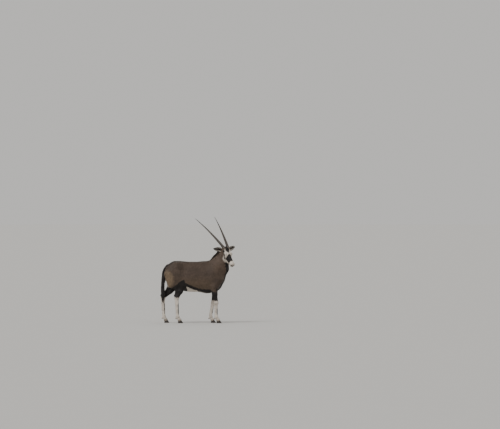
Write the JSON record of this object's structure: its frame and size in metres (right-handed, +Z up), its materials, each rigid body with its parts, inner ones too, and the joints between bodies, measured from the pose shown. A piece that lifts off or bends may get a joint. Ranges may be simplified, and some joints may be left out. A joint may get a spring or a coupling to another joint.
{
  "type": "gemsbok",
  "caption": "Life-size standing antelope with long straight ringed horns, head turned to its right, black tail and black and white markings.",
  "frame": {"origin": "on the ground, at the middle of the whole animal's outline box seen from above", "axes": "+X the way the body faces, +Y the animal's left, +Z up"},
  "size_m": [1.4662, 0.9916, 2.0863],
  "materials": {
    "coat": "short grey-brown fur that lies flat, with black and white markings",
    "long_hair": "long black hair",
    "hoof": "dull black horn",
    "horn": "ringed dark horn, worn smooth at the tips",
    "eye": "wet, very dark brown"
  },
  "bodies": {
    "root": {"torso": "coat", "neck": "coat", "head": "coat", "ear_left": "coat", "ear_right": "coat", "eye_left": "eye", "eye_right": "eye", "horn_left": "horn", "horn_right": "horn", "tail": "long_hair", "foreleg_left_upper": "coat", "foreleg_left_lower": "coat", "foreleg_left_claw_inner": "hoof", "foreleg_left_claw_outer": "hoof", "foreleg_right_upper": "coat", "foreleg_right_lower": "coat", "foreleg_right_claw_inner": "hoof", "foreleg_right_claw_outer": "hoof", "hindleg_left_upper": "coat", "hindleg_left_lower": "coat", "hindleg_left_claw_inner": "hoof", "hindleg_left_claw_outer": "hoof", "hindleg_right_upper": "coat", "hindleg_right_lower": "coat", "hindleg_right_claw_inner": "hoof", "hindleg_right_claw_outer": "hoof"}
  },
  "joints": []
}
